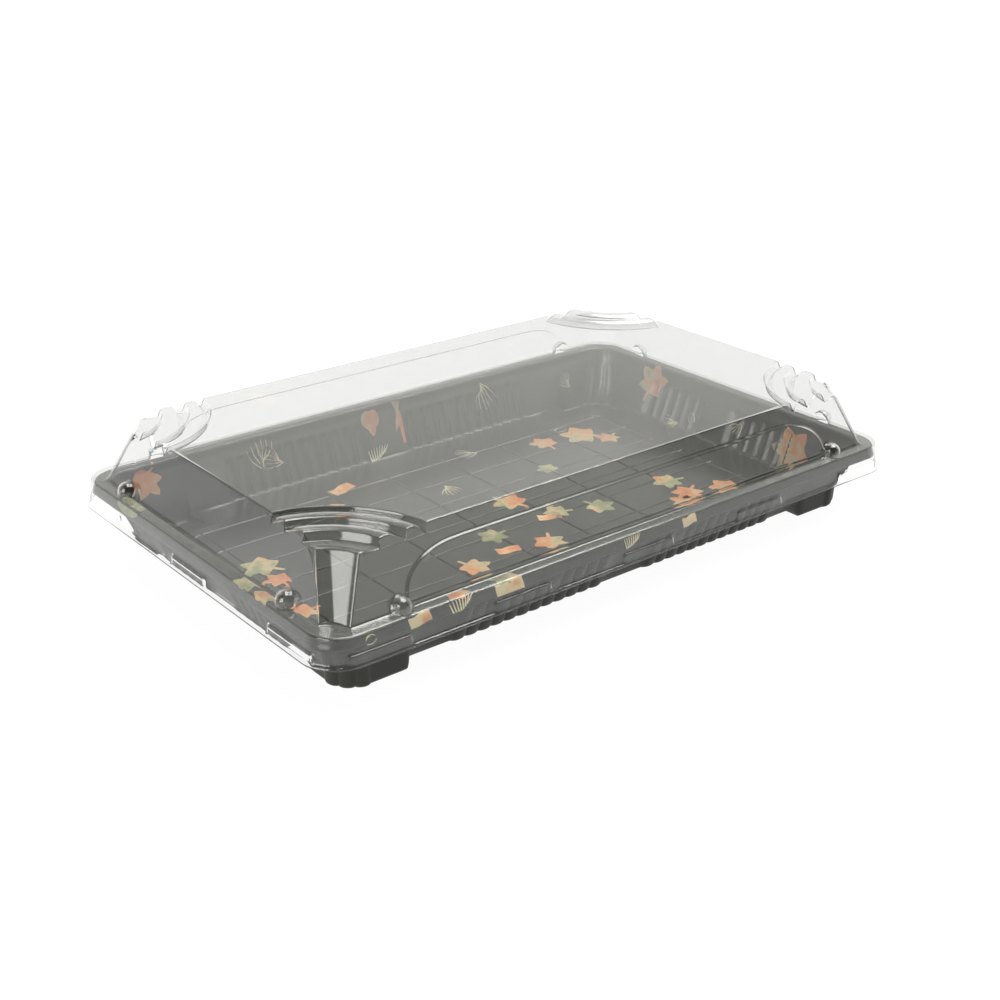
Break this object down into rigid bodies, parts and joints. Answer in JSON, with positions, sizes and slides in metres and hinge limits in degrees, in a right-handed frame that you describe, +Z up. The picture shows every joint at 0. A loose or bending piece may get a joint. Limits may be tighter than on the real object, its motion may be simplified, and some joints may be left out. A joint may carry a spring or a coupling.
{
  "type": "takeaway sushi tray",
  "caption": "Empty formed takeaway sushi tray, black with a printed inner face, closed by a clear press-on lid with stepped fan corners.",
  "frame": {"origin": "middle of the tray's footprint, on the plane its corner feet stand on", "axes": "+Z up, +X along the long side, +Y along the short side; the lid is on"},
  "size_m": [0.2172, 0.1376, 0.04],
  "materials": {
    "tray": "glossy black with a printed inner face",
    "lid": "clear, glossy"
  },
  "bodies": {
    "root": {"tray": "tray", "lid": "lid"}
  },
  "joints": []
}
